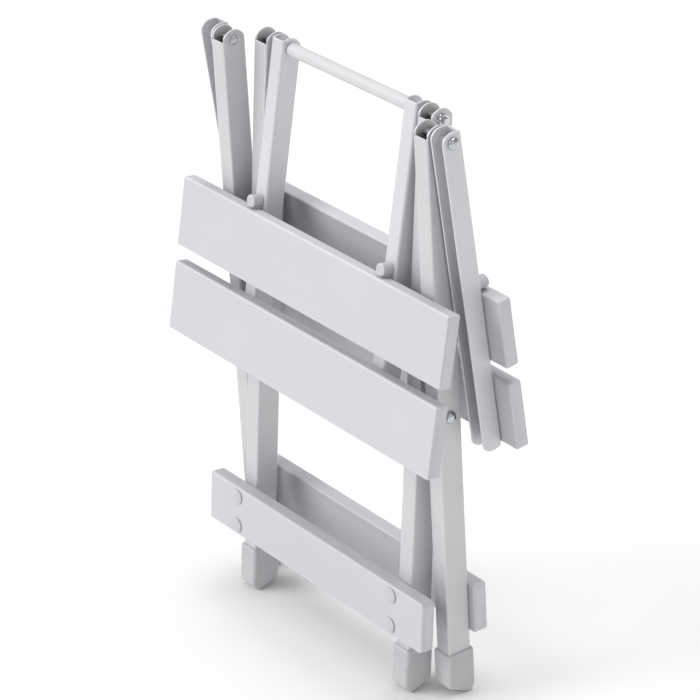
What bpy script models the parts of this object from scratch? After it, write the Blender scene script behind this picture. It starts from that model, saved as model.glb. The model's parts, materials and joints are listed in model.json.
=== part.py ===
"""Folding step stool with a slatted seat in two halves, modelled folded and standing on its feet.

Two leg frames cross like scissors. Each seat half hangs from the top of one leg frame: the near
half (-Y) from the inner legs, the far half (+Y) from the outer legs. Every piece is modelled in
the frame of its own body, whose empty stands on the body's pivot axis:
    x  across the stool, along the slats
    y  out of the frame, negative towards the near side
    z  up along the leg, or up along the rail towards its pivot
"""

import math

import bmesh
import bpy
from mathutils import Matrix

# Driving dimensions, in metres and degrees.
SLAT_LENGTH = 0.320
SLAT_WIDTH = 0.0545
SLAT_THICKNESS = 0.011
SLAT_PITCH = 0.067
SLAT_START = 0.1215  # from the seat pivot down to the upper slat
SLAT_EDGE = 0.002

LEG_WIDTH = 0.015
LEG_DEPTH = 0.020
LEG_WALL = 0.0015
PIVOT_TO_TOP = 0.2145
PIVOT_TO_SOLE = 0.2296  # down to the sole's lowest line
EAR_DROP = 0.002  # from the seat pivot down to the middle of the ears' arc
MOUTH_DROP = 0.0002  # from the seat pivot down to the top of the end walls
LEG_TILT = 2.9

RAIL_WIDTH = 0.0142
RAIL_DEPTH = 0.0166
RAIL_WALL = 0.0015
RAIL_LENGTH = 0.2455
RAIL_END_RISE = 0.008  # height of the round part of a rail's end
RAIL_END_FALL = 0.002  # how far the end falls from its middle to the web
SEAT_TILT = 8.8

NEAR_RAIL_X = 0.0783
INNER_LEG_X = 0.0966
OUTER_LEG_X = 0.1201
FAR_RAIL_X = 0.1364

CROSSBAR_LENGTH = 0.267
CROSSBAR_HEIGHT = 0.040
CROSSBAR_THICKNESS = 0.0117
CROSSBAR_DROP = 0.1606  # from the scissor pivot down to the crossbar's middle
CROSSBAR_EDGE = 0.002
RIVET_SPACING = 0.024

FOOT_WALL = 0.0019
FOOT_HEIGHT = 0.0356
FOOT_HOLD = 0.0185  # how much of the leg the foot takes in
SOLE_SLANT = 25.0
HEEL_LENGTH = 0.0056  # how far the sole's lowest line lies in from the outer face
HEEL_RISE = 0.005

HANDLE_RADIUS = 0.005
BOLT_RADIUS = 0.0025
BOLT_HEAD_RADIUS = 0.0045
BOLT_HEAD_HEIGHT = 0.0032
NUT_RADIUS = 0.0046
NUT_HEIGHT = 0.003
STUD_REACH = 0.0022  # how far a stud's end stands out of its nut
CLINCH_RADIUS = 0.004
CLINCH_HEIGHT = 0.0014
HANDLE_THREAD = 0.010
SPACER_RADIUS = 0.006
RIVET_HEAD_RADIUS = 0.0057
RIVET_HEAD_HEIGHT = 0.0012
RIVET_RADIUS = 0.0023
RIVET_TAIL = 0.002
PEG_RADIUS = 0.0047
PEG_HEIGHT = 0.0085
PEG_STEM_RADIUS = 0.002
PEG_DROP = 0.1157
SCREW_RADIUS = 0.0018
SCREW_HEAD_RADIUS = 0.0036
SCREW_HEAD_HEIGHT = 0.002
SCREW_REACH = 0.0075
SCREW_SPACING = 0.030

GAP = 0.0003  # between pieces that touch
ROUND_SIDES = 12
ARC_STEPS = 8
OVERCUT = 0.002  # how far a cutter runs past the face it opens

# Worked out from the driving dimensions.
TILT = math.radians(LEG_TILT)
HANG = math.radians(SEAT_TILT)
FOOT_HALF_WIDTH = LEG_WIDTH / 2 + FOOT_WALL
FOOT_HALF_DEPTH = LEG_DEPTH / 2 + FOOT_WALL
HEEL_OUT = FOOT_HALF_DEPTH - HEEL_LENGTH
SOLE_RISE = (FOOT_HALF_DEPTH + HEEL_OUT) * math.tan(math.radians(SOLE_SLANT))
LEG_BOTTOM = -PIVOT_TO_SOLE + FOOT_HEIGHT - FOOT_HOLD
PIVOT_HEIGHT = PIVOT_TO_SOLE * math.cos(TILT) - HEEL_OUT * math.sin(TILT)
SEAT_PIVOT_Y = PIVOT_TO_TOP * math.sin(TILT)
SEAT_PIVOT_Z = PIVOT_HEIGHT + PIVOT_TO_TOP * math.cos(TILT)
HOLE_CLEARANCE = GAP
SIDES = (("left", -1), ("right", 1))

PARTS = "folding_step_stool"
CUTTERS = "cutters"


def clear_scene():
    for thing in list(bpy.data.objects):
        bpy.data.objects.remove(thing, do_unlink=True)


def new_collection(name):
    collection = bpy.data.collections.new(name)
    bpy.context.scene.collection.children.link(collection)
    return collection


def material(name, colour, roughness, metallic):
    made = bpy.data.materials.new(name)
    made.use_nodes = True
    shader = made.node_tree.nodes["Principled BSDF"]
    shader.inputs["Base Color"].default_value = (*colour, 1.0)
    shader.inputs["Roughness"].default_value = roughness
    shader.inputs["Metallic"].default_value = metallic
    made.diffuse_color = (*colour, 1.0)
    return made


def body_axis(name, y, z, turn):
    """An empty on a body's pivot axis, turned about X, that carries the body's pieces."""
    empty = bpy.data.objects.new(name, None)
    empty.location = (0.0, y, z)
    empty.rotation_euler = (turn, 0.0, 0.0)
    bpy.context.scene.collection.objects.link(empty)
    return empty


def mesh_from(name, fill):
    """A mesh that the function `fill` makes in a bmesh."""
    work = bmesh.new()
    fill(work)
    mesh = bpy.data.meshes.new(name)
    work.to_mesh(mesh)
    work.free()
    return mesh


def box_mesh(name, low, high):
    size = [b - a for a, b in zip(low, high)]
    middle = [(a + b) / 2 for a, b in zip(low, high)]
    place = Matrix.Translation(middle) @ Matrix.Diagonal((*size, 1.0))
    return mesh_from(name, lambda work: bmesh.ops.create_cube(work, size=1.0, matrix=place))


def cylinder_mesh(name, radius, start, end, along="X", sides=ROUND_SIDES):
    """A closed cylinder between two points that differ only in the coordinate `along`."""
    depth = math.dist(start, end)
    middle = [(a + b) / 2 for a, b in zip(start, end)]
    turns = {"X": Matrix.Rotation(math.pi / 2, 4, "Y"), "Y": Matrix.Rotation(math.pi / 2, 4, "X")}
    place = Matrix.Translation(middle) @ turns[along]

    def fill(work):
        bmesh.ops.create_cone(
            work, cap_ends=True, segments=sides, radius1=radius, radius2=radius, depth=depth, matrix=place
        )

    return mesh_from(name, fill)


def outline_mesh(name, points, x_low, x_high):
    """A flat outline of (y, z) points, filled and given its thickness along X."""
    curve = bpy.data.curves.new(name, "CURVE")
    curve.dimensions = "2D"
    curve.fill_mode = "BOTH"
    curve.extrude = (x_high - x_low) / 2
    spline = curve.splines.new("POLY")
    spline.points.add(len(points) - 1)
    for point, (y, z) in zip(spline.points, points):
        point.co = (y, z, 0.0, 1.0)
    spline.use_cyclic_u = True
    holder = bpy.data.objects.new(name, curve)
    bpy.context.scene.collection.objects.link(holder)
    bpy.context.view_layer.update()
    mesh = bpy.data.meshes.new_from_object(holder.evaluated_get(bpy.context.evaluated_depsgraph_get()))
    bpy.data.objects.remove(holder, do_unlink=True)
    bpy.data.curves.remove(curve)
    work = bmesh.new()
    work.from_mesh(mesh)
    bmesh.ops.remove_doubles(work, verts=work.verts, dist=1e-6)
    # The curve lies in its own XY plane: its x, y and z become the piece's y, z and x.
    upright = Matrix(((0, 0, 1, 0), (1, 0, 0, 0), (0, 1, 0, 0), (0, 0, 0, 1)))
    work.transform(Matrix.Translation(((x_low + x_high) / 2, 0.0, 0.0)) @ upright)
    bmesh.ops.recalc_face_normals(work, faces=work.faces)
    work.to_mesh(mesh)
    work.free()
    return mesh


def place(name, mesh, body, finish):
    """A part of a body: its mesh, in the body's own frame, hung on the body's empty."""
    mesh.materials.clear()
    mesh.materials.append(finish)
    part = bpy.data.objects.new(name, mesh)
    part.parent = body
    bpy.data.collections[PARTS].objects.link(part)
    return part


def combine(part, mesh, operation):
    """Cut a mesh out of a part, or join it on, with an exact Boolean whose tool stays hidden."""
    tool = bpy.data.objects.new(mesh.name, mesh)
    tool.parent = part.parent
    tool.hide_render = True
    tool.display_type = "WIRE"
    bpy.data.collections[CUTTERS].objects.link(tool)
    step = part.modifiers.new(mesh.name, "BOOLEAN")
    step.operation = operation
    step.solver = "EXACT"
    step.object = tool


def cut(part, mesh):
    combine(part, mesh, "DIFFERENCE")


def join(part, mesh):
    combine(part, mesh, "UNION")


def round_edges(part, width):
    step = part.modifiers.new("edges", "BEVEL")
    step.width = width
    step.segments = 2
    step.limit_method = "ANGLE"


def turned(name, profile, body, finish, x, y, z, turn):
    """A turned piece: a profile of (radius, height) points, top to bottom, swept about an axis."""
    points = [(radius, 0.0, height) for radius, height in profile]
    mesh = bpy.data.meshes.new(name)
    mesh.from_pydata(points, [(i, i + 1) for i in range(len(points) - 1)], [])
    part = place(name, mesh, body, finish)
    part.location = (x, y, z)
    part.rotation_euler = turn
    step = part.modifiers.new("turn", "SCREW")
    step.axis = "Z"
    step.steps = ROUND_SIDES
    step.render_steps = ROUND_SIDES
    step.use_merge_vertices = True
    step.merge_threshold = 1e-5
    step.use_smooth_shade = True
    return part


def pin_profile(head_radius, head_height, shank_radius, shank_length):
    """A low button head over a shank, with the head's underside at height 0."""
    return [
        (0.0, head_height),
        (0.6 * head_radius, head_height),
        (head_radius, 0.45 * head_height),
        (head_radius, 0.0),
        (shank_radius, 0.0),
        (shank_radius, -shank_length),
        (0.0, -shank_length),
    ]


def ear_outline(half_depth, low, high):
    """A bar seen along X, square at its lower end and a half circle about `high` at its top."""
    top = [
        (half_depth * math.cos(angle), high + half_depth * math.sin(angle))
        for angle in (math.pi * step / ARC_STEPS for step in range(ARC_STEPS + 1))
    ]
    return [(-half_depth, low), (half_depth, low)] + top


def leg(name, x, facing, body, finish):
    """A rectangular tube, open at the top, where its side walls run up into two round ears."""
    half = LEG_WIDTH / 2
    deep = LEG_DEPTH / 2
    outline = ear_outline(deep, LEG_BOTTOM, PIVOT_TO_TOP - EAR_DROP)
    tube = place(name, outline_mesh(name, outline, x - half, x + half), body, finish)
    bore_low = (x - half + LEG_WALL, -deep + LEG_WALL, LEG_BOTTOM - OVERCUT)
    bore_high = (x + half - LEG_WALL, deep - LEG_WALL, PIVOT_TO_TOP + deep + OVERCUT)
    cut(tube, box_mesh(f"{name}_bore", bore_low, bore_high))
    ear_low = (x - half + LEG_WALL, -deep - OVERCUT, PIVOT_TO_TOP - MOUTH_DROP)
    ear_high = (x + half - LEG_WALL, deep + OVERCUT, PIVOT_TO_TOP + deep + OVERCUT)
    cut(tube, box_mesh(f"{name}_mouth", ear_low, ear_high))
    for label, z in (("scissor", 0.0), ("seat", PIVOT_TO_TOP)):
        start = (x - half - OVERCUT, 0.0, z)
        end = (x + half + OVERCUT, 0.0, z)
        cut(tube, cylinder_mesh(f"{name}_{label}_hole", BOLT_RADIUS + HOLE_CLEARANCE, start, end))
    for label, z in rivet_heights():
        start = (x, facing * (deep - 2 * LEG_WALL), z)
        end = (x, facing * (deep + OVERCUT), z)
        hole = cylinder_mesh(f"{name}_{label}_rivet_hole", RIVET_RADIUS + HOLE_CLEARANCE, start, end, "Y")
        cut(tube, hole)
    return tube


def rivet_heights():
    return (
        ("upper", -CROSSBAR_DROP + RIVET_SPACING / 2),
        ("lower", -CROSSBAR_DROP - RIVET_SPACING / 2),
    )


def foot(name, x, facing, body, finish):
    """A cap over the leg's end, whose sole slants up from its heel towards the stool's middle."""
    bottom = -PIVOT_TO_SOLE
    top = bottom + FOOT_HEIGHT
    outer = facing * FOOT_HALF_DEPTH
    heel = [(outer, bottom + HEEL_RISE), (facing * HEEL_OUT, bottom)]
    outline = [*heel, (-outer, bottom + SOLE_RISE), (-outer, top), (outer, top)]
    low = x - FOOT_HALF_WIDTH
    high = x + FOOT_HALF_WIDTH
    cap = place(name, outline_mesh(name, outline, low, high), body, finish)
    half = LEG_WIDTH / 2 + GAP
    deep = LEG_DEPTH / 2 + GAP
    socket = box_mesh(f"{name}_socket", (x - half, -deep, LEG_BOTTOM - GAP), (x + half, deep, top + OVERCUT))
    cut(cap, socket)
    return cap


def crossbar(name, leg_x, facing, body, finish):
    """A flat bar over the outer faces of a leg frame's two legs."""
    near = LEG_DEPTH / 2 + GAP
    far = near + CROSSBAR_THICKNESS
    y_low, y_high = sorted((facing * near, facing * far))
    half = CROSSBAR_LENGTH / 2
    low = (-half, y_low, -CROSSBAR_DROP - CROSSBAR_HEIGHT / 2)
    high = (half, y_high, -CROSSBAR_DROP + CROSSBAR_HEIGHT / 2)
    bar = place(name, box_mesh(name, low, high), body, finish)
    round_edges(bar, CROSSBAR_EDGE)
    for side, sign in SIDES:
        for label, z in rivet_heights():
            start = (sign * leg_x, facing * (near - OVERCUT), z)
            end = (sign * leg_x, facing * (far + OVERCUT), z)
            hole_name = f"{name}_{side}_{label}_hole"
            cut(bar, cylinder_mesh(hole_name, RIVET_RADIUS + HOLE_CLEARANCE, start, end, "Y"))
    return bar


def crossbar_rivets(name, leg_x, facing, body, finish):
    """Four button rivets that hold a crossbar to its legs, heads outwards."""
    face = LEG_DEPTH / 2 + GAP + CROSSBAR_THICKNESS + GAP
    shank = face - LEG_DEPTH / 2 + LEG_WALL + RIVET_TAIL
    profile = pin_profile(RIVET_HEAD_RADIUS, RIVET_HEAD_HEIGHT, RIVET_RADIUS, shank)
    for side, sign in SIDES:
        for label, z in rivet_heights():
            turn = (-facing * math.pi / 2, 0.0, 0.0)
            turned(f"{name}_{side}_{label}", profile, body, finish, sign * leg_x, facing * face, z, turn)


def rail_outline(half_depth, facing):
    """A rail seen along X: both ends are round towards the open side, and fall a little to the web."""
    points = []
    for end, height in ((1, 0.0), (-1, -RAIL_LENGTH + RAIL_END_RISE)):
        for step in range(2 * ARC_STEPS + 1):
            across = end * math.cos(math.pi * step / (2 * ARC_STEPS))
            if across < 0:
                rise = RAIL_END_RISE * math.sqrt(1 - across**2)
            else:
                rise = RAIL_END_RISE - RAIL_END_FALL * across**2
            points.append((facing * half_depth * across, height + end * rise))
    return points


def rail(name, x, facing, body, finish):
    """A channel whose web faces outwards under the slats."""
    half = RAIL_WIDTH / 2
    deep = RAIL_DEPTH / 2
    outline = rail_outline(deep, facing)
    channel = place(name, outline_mesh(name, outline, x - half, x + half), body, finish)
    y_low, y_high = sorted((facing * (deep - RAIL_WALL), -facing * (deep + OVERCUT)))
    trough_low = (x - half + RAIL_WALL, y_low, -RAIL_LENGTH - OVERCUT)
    trough_high = (x + half - RAIL_WALL, y_high, deep + OVERCUT)
    cut(channel, box_mesh(f"{name}_trough", trough_low, trough_high))
    pin_start = (x - half - OVERCUT, 0.0, 0.0)
    pin_end = (x + half + OVERCUT, 0.0, 0.0)
    cut(channel, cylinder_mesh(f"{name}_pivot_hole", BOLT_RADIUS + HOLE_CLEARANCE, pin_start, pin_end))
    holes = [("peg", PEG_STEM_RADIUS, -PEG_DROP)]
    holes += [(f"screw_{label}", SCREW_RADIUS, z) for label, z in screw_heights()]
    for label, radius, z in holes:
        start = (x, facing * (deep - 2 * RAIL_WALL), z)
        end = (x, facing * (deep + OVERCUT), z)
        cut(channel, cylinder_mesh(f"{name}_{label}_hole", radius + HOLE_CLEARANCE, start, end, "Y"))
    return channel


def slat_middles():
    first = -SLAT_START - SLAT_WIDTH / 2
    return (("upper", first), ("lower", first - SLAT_PITCH))


def screw_heights():
    """The two screws that hold each slat to a rail."""
    return [
        (f"{slat}_{number}", middle + step * SCREW_SPACING / 2)
        for slat, middle in slat_middles()
        for number, step in ((1, 1), (2, -1))
    ]


def slat(name, middle, rail_x, facing, body, finish):
    """A flat slat with softened edges, and blind holes in its back for its screws."""
    near = RAIL_DEPTH / 2 + GAP
    y_low, y_high = sorted((facing * near, facing * (near + SLAT_THICKNESS)))
    half = SLAT_LENGTH / 2
    low = (-half, y_low, middle - SLAT_WIDTH / 2)
    high = (half, y_high, middle + SLAT_WIDTH / 2)
    board = place(name, box_mesh(name, low, high), body, finish)
    round_edges(board, SLAT_EDGE)
    for side, sign in SIDES:
        for number, step in ((1, 1), (2, -1)):
            z = middle + step * SCREW_SPACING / 2
            start = (sign * rail_x, facing * (near - OVERCUT), z)
            end = (sign * rail_x, facing * (near + SCREW_REACH + GAP), z)
            hole_name = f"{name}_{side}_hole_{number}"
            cut(board, cylinder_mesh(hole_name, SCREW_RADIUS + HOLE_CLEARANCE, start, end, "Y"))
    return board


def slat_screws(name, rail_x, facing, body, finish):
    """Screws from inside the channel, through its web and into the backs of the slats."""
    seat = RAIL_DEPTH / 2 - RAIL_WALL - GAP
    shank = RAIL_WALL + 2 * GAP + SCREW_REACH
    profile = pin_profile(SCREW_HEAD_RADIUS, SCREW_HEAD_HEIGHT, SCREW_RADIUS, shank)
    turn = (facing * math.pi / 2, 0.0, 0.0)
    for side, sign in SIDES:
        for label, z in screw_heights():
            turned(f"{name}_{side}_{label}", profile, body, finish, sign * rail_x, facing * seat, z, turn)


def peg(name, x, facing, body, finish):
    """A round bumper above the upper slat, held by a stem through the rail's web."""
    base = RAIL_DEPTH / 2 + GAP
    stem = base - RAIL_DEPTH / 2 + 2 * RAIL_WALL
    profile = pin_profile(PEG_RADIUS, PEG_HEIGHT, PEG_STEM_RADIUS, stem)
    edge = 0.92
    profile[1:3] = [(edge * PEG_RADIUS, PEG_HEIGHT), (PEG_RADIUS, edge * PEG_HEIGHT)]
    turned(name, profile, body, finish, x, facing * base, -PEG_DROP, (-facing * math.pi / 2, 0.0, 0.0))


def side_bolt(name, sign, face, tip, z, body, finish):
    """A bolt along X: its head lies on the outer face at `face`, and its shank ends at `tip`."""
    profile = pin_profile(BOLT_HEAD_RADIUS, BOLT_HEAD_HEIGHT, BOLT_RADIUS, face - tip)
    turned(name, profile, body, finish, sign * face, 0.0, z, (0.0, sign * math.pi / 2, 0.0))


def side_stud(name, sign, face, tip, z, body, finish):
    """A stud along X with its nut on the outer face at `face`; its inner end is at `tip`."""
    out = NUT_HEIGHT + STUD_REACH
    profile = [
        (0.0, out),
        (BOLT_RADIUS, out),
        (BOLT_RADIUS, NUT_HEIGHT),
        (NUT_RADIUS, NUT_HEIGHT),
        (NUT_RADIUS, 0.0),
        (BOLT_RADIUS, 0.0),
        (BOLT_RADIUS, tip - face),
        (0.0, tip - face),
    ]
    turned(name, profile, body, finish, sign * face, 0.0, z, (0.0, sign * math.pi / 2, 0.0))


def ring(name, radius, sides, start, end, z, body, finish):
    """A nut or spacer on a bolt: a prism along X with a clear hole."""
    outside = cylinder_mesh(name, radius, (start, 0.0, z), (end, 0.0, z), sides=sides)
    piece = place(name, outside, body, finish)
    low, high = sorted((start, end))
    hole_ends = ((low - OVERCUT, 0.0, z), (high + OVERCUT, 0.0, z))
    cut(piece, cylinder_mesh(f"{name}_hole", BOLT_RADIUS + HOLE_CLEARANCE, *hole_ends))


def handle(name, body, finish):
    """The round rod between the near rails, on the seat pivot, with a threaded hole in each end."""
    half = NEAR_RAIL_X - RAIL_WIDTH / 2 - GAP
    rod = place(name, cylinder_mesh(name, HANDLE_RADIUS, (-half, 0, 0), (half, 0, 0)), body, finish)
    for side, sign in SIDES:
        start = (sign * (half - HANDLE_THREAD - GAP), 0.0, 0.0)
        end = (sign * (half + OVERCUT), 0.0, 0.0)
        cut(rod, cylinder_mesh(f"{name}_{side}_thread", BOLT_RADIUS + HOLE_CLEARANCE, start, end))


def leg_frame(label, x, facing, bar_name, body, finishes):
    """Two legs, their feet, and the crossbar riveted over their outer faces."""
    for side, sign in SIDES:
        leg(f"{label}_leg_{side}", sign * x, facing, body, finishes["tube"])
        foot(f"{label}_foot_{side}", sign * x, facing, body, finishes["foot"])
    crossbar(bar_name, x, facing, body, finishes["slat"])
    crossbar_rivets(f"{bar_name}_rivet", x, facing, body, finishes["cap"])


def seat_half(label, x, facing, body, finishes):
    """Two rails with their bumper pegs, and the two slats screwed to them."""
    for side, sign in SIDES:
        rail(f"{label}_rail_{side}", sign * x, facing, body, finishes["rail"])
        peg(f"{label}_peg_{side}", sign * x, facing, body, finishes["peg"])
    for position, middle in slat_middles():
        slat(f"{label}_slat_{position}", middle, x, facing, body, finishes["slat"])
    slat_screws(f"{label}_screw", x, facing, body, finishes["steel"])


def scissor_pivots(body, finishes):
    """A bolt through both legs on each side, with a spacer between them and a nut inside."""
    face = OUTER_LEG_X + LEG_WIDTH / 2 + GAP
    inner_face = INNER_LEG_X - LEG_WIDTH / 2 - GAP
    tip = inner_face - NUT_HEIGHT - 2 * GAP
    spacer_start = INNER_LEG_X + LEG_WIDTH / 2 + GAP
    spacer_end = OUTER_LEG_X - LEG_WIDTH / 2 - GAP
    for side, sign in SIDES:
        side_bolt(f"scissor_bolt_{side}", sign, face, tip, 0.0, body, finishes["steel"])
        spacer_span = (sign * spacer_start, sign * spacer_end)
        ring(f"scissor_spacer_{side}", SPACER_RADIUS, ROUND_SIDES, *spacer_span, 0.0, body, finishes["peg"])
        nut_span = (sign * inner_face, sign * (inner_face - NUT_HEIGHT))
        ring(f"scissor_nut_{side}", NUT_RADIUS, 6, *nut_span, 0.0, body, finishes["steel"])


def near_pivots(body, finish):
    """Studs through the inner legs' ears and the near rails, into the ends of the handle."""
    face = INNER_LEG_X + LEG_WIDTH / 2 + GAP
    tip = NEAR_RAIL_X - RAIL_WIDTH / 2 - GAP - HANDLE_THREAD
    for side, sign in SIDES:
        side_stud(f"near_pivot_bolt_{side}", sign, face, tip, PIVOT_TO_TOP, body, finish)


def far_pivots(body, finish):
    """Bolts through the far rails and the outer legs' ears, clinched on the legs' inner faces."""
    face = FAR_RAIL_X + RAIL_WIDTH / 2 + GAP
    inner_face = OUTER_LEG_X - LEG_WIDTH / 2 - GAP
    tip = inner_face - CLINCH_HEIGHT
    for side, sign in SIDES:
        side_bolt(f"far_pivot_bolt_{side}", sign, face, tip, PIVOT_TO_TOP, body, finish)
        span = (sign * inner_face, sign * tip)
        ring(f"far_pivot_nut_{side}", CLINCH_RADIUS, ROUND_SIDES, *span, PIVOT_TO_TOP, body, finish)


def main():
    clear_scene()
    new_collection(PARTS)
    new_collection(CUTTERS)
    finishes = {
        "tube": material("satin_aluminium", (0.72, 0.72, 0.73), 0.38, 0.9),
        "rail": material("rail_aluminium", (0.66, 0.67, 0.70), 0.4, 0.9),
        "slat": material("light_grey_slat", (0.70, 0.70, 0.72), 0.55, 0.0),
        "foot": material("grey_foot", (0.38, 0.39, 0.41), 0.6, 0.0),
        "cap": material("pale_cap", (0.74, 0.74, 0.76), 0.45, 0.0),
        "peg": material("pale_peg", (0.62, 0.63, 0.65), 0.5, 0.0),
        "handle": material("white_handle", (0.82, 0.82, 0.83), 0.35, 0.0),
        "steel": material("zinc_steel", (0.62, 0.63, 0.65), 0.3, 1.0),
    }
    inner_frame = body_axis("inner_frame_axis", 0.0, PIVOT_HEIGHT, -TILT)
    outer_frame = body_axis("outer_frame_axis", 0.0, PIVOT_HEIGHT, TILT)
    near_seat = body_axis("near_seat_axis", SEAT_PIVOT_Y, SEAT_PIVOT_Z, -HANG)
    far_seat = body_axis("far_seat_axis", -SEAT_PIVOT_Y, SEAT_PIVOT_Z, HANG)

    leg_frame("inner", INNER_LEG_X, -1, "near_crossbar", inner_frame, finishes)
    leg_frame("outer", OUTER_LEG_X, 1, "far_crossbar", outer_frame, finishes)
    seat_half("near", NEAR_RAIL_X, -1, near_seat, finishes)
    seat_half("far", FAR_RAIL_X, 1, far_seat, finishes)
    handle("handle_rod", near_seat, finishes["handle"])
    scissor_pivots(inner_frame, finishes)
    near_pivots(inner_frame, finishes["steel"])
    far_pivots(outer_frame, finishes["steel"])


main()
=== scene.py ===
"""Folding step stool with a slatted seat, finished piece by piece around its packed frame.

Every piece is built in the frame of the body that it rides on (x along the slats, y out of the
body's plane, z up towards its pivot) and is then turned into place, so that its sizes can be read
straight from the frame's own nodes.
"""

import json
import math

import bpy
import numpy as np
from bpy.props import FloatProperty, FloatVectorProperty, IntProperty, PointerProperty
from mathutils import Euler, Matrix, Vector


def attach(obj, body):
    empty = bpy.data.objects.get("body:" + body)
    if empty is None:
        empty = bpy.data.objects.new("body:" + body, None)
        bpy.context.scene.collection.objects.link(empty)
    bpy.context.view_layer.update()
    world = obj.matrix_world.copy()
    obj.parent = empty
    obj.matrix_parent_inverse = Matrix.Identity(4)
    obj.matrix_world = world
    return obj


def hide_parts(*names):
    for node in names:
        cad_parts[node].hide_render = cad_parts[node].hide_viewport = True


bl_info = {
    "name": "Folding Step Stool",
    "version": (1, 0, 0),
    "blender": (4, 5, 0),
    "location": "View3D > Sidebar > Stool",
    "description": "Builds the finished surfaces of a folding step stool around its frame",
    "category": "Add Mesh",
}

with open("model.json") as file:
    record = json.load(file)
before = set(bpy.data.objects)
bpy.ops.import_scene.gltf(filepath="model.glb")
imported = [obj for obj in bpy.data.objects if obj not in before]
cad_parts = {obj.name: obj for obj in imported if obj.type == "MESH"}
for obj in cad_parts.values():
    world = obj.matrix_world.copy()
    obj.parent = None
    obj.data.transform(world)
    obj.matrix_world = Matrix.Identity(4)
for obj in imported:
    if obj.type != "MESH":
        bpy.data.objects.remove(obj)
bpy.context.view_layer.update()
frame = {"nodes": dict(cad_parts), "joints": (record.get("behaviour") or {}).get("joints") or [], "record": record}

RECORD = frame["record"]
JOINTS = {joint["name"]: joint for joint in frame["joints"]}
BODY_OF = {node: body for body, nodes in RECORD["behaviour"]["bodies"].items() for node in nodes}
SLOT_OF = {part["node"]: part["material_slot"] for part in RECORD["subparts"]}
COLOUR_OF = {entry["slot"]: tuple(entry["base_color"][:3]) for entry in RECORD["materials"]}
MM = 0.001
# the edge mask is above nought on rounded edges and rims, where they are paled for rubbing and painted highlight,
# and below nought inside the tubes, for painted shade
EDGE_MASK = "edge_mask"
COLLECTION = "stool_pieces"

SHARP_ANGLE = math.radians(40)  # creases steeper than this stay crisp
SHANK_RADIUS = 2.5 * MM  # of the pivots' bolts and studs
BORE_RADIUS = 2.7 * MM
BOLT_HEAD = 3.2 * MM  # height of a bolt's button head
NUT_HEIGHT = 3.0 * MM  # of the nuts on the near studs
STUD_OUT = 5.2 * MM  # from a leg's face out to a stud's end
RIVET_HEIGHT = 1.2 * MM  # of a rivet's button
RIVET_SHANK = 13.0 * MM  # how far a rivet goes in, behind its button
SCREW_HEAD = 2.0 * MM  # height of a slat screw's head
SLAT_SLACK = 0.1 * MM  # left free inside each face of a slat's box
SOLE_DROP = 0.5 * MM  # brings the bend of the sole down to the floor
SOLE_BEND = 1.2 * MM  # softens the sole's turn into the heel
LEAST_RADIUS = 0.3 * MM  # of a foot's upright corners
RAIL_BEND = 1.3 * MM  # of the middle of the wall, from web to flange
RING_POINTS = 96  # round a nut or spacer
RING_SHARE = 0.97  # of its node's radius that a ring reaches at most
SCREW_SIDES = 24

MOTTLE = (0.965, 1.03)  # darkest and palest shares of the base colour
RUB_AND_HIGHLIGHT_PALER = 0.6  # of the way to white, where an edge is fully rubbed or carries its full painted highlight
PAINTED_SHADE_SHARE = 0.38  # of the base colour that is left where the painted shade inside a tube is darkest
STREAK_SWING = 0.12  # how far the drawn streaks move the roughness
COAT_ROUGHNESS = 0.25
BUMP_DISTANCE = 0.05 * MM

FLOOR_RADIUS = 45.0
FLOOR_SIDES = 64
FLOOR_DROP = 0.3 * MM  # keeps the floor clear of the soles
AIR_LIGHT = 0.41  # the white air's strength, except where the camera sees it
SENSOR_WIDTH = 36.0  # of the camera, in millimetres
CLIP_END = 100.0
# name, where it shines from, its spread in degrees, and its strength
LAMPS = (
    ("key_light", (-1.5, -2.5, 1.7), 39.0, 1.76),
    ("side_light", (2.6, -0.3, 1.0), 36.0, 0.2),
    ("top_light", (-0.2, 0.4, 2.6), 42.0, 1.8),
)


# ------------------------------
# Settings


def size(label, description, default, low=0.0):
    """A length that is typed and shown in the scene's units."""
    return FloatProperty(
        name=label, description=description, default=default, min=low, unit="LENGTH", precision=4
    )


def colour(label, description, default):
    return FloatVectorProperty(
        name=label, description=description, default=default, subtype="COLOR", size=3, min=0.0, max=1.0
    )


def share(label, description, default):
    return FloatProperty(name=label, description=description, default=default, min=0.0, max=1.0)


def degrees(label, description, default):
    """An angle that is given, typed and shown in degrees."""
    return FloatProperty(
        name=label, description=description, default=math.radians(default), subtype="ANGLE"
    )


class StoolMetalSettings(bpy.types.PropertyGroup):
    """Sizes and colours of the legs, the seat rails and the handle."""

    wall: size("Wall", "Thickness of the tube and channel walls", 1.5 * MM)
    corner: size("Corner radius", "Outer radius of the tubes' corners", 1.6 * MM)
    rim: size("Rim softening", "How far cut edges are rubbed down", 0.35 * MM)
    mouth: size("Mouth height", "The end walls' height over the middle of the ears' arc", 1.8 * MM)
    rail_end: size("Rail end rise", "Height of the round part of a rail's ends", 8.0 * MM)
    rail_fall: size("Rail end fall", "How far a rail's end falls from its middle to the web", 2.0 * MM)
    tube_colour: colour("Tube", "Anodised tube", COLOUR_OF["leg_tube"])
    rail_colour: colour("Rail", "Anodised channel", COLOUR_OF["seat_rail"])
    handle_colour: colour("Handle", "Coated rod", COLOUR_OF["handle_paint"])
    # depth of the painted shade inside the tubes, which stands in for the shade in their mouths
    painted_shade_depth: size("Painted shade depth", "How far down a tube the inside is in its darkest painted shade", 9.0 * MM)
    # also how strongly the painted highlights along the metal's edges show
    wear_and_highlight: share("Wear and highlight", "How much the rubbed edges and painted edge highlights show", 0.35)


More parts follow.
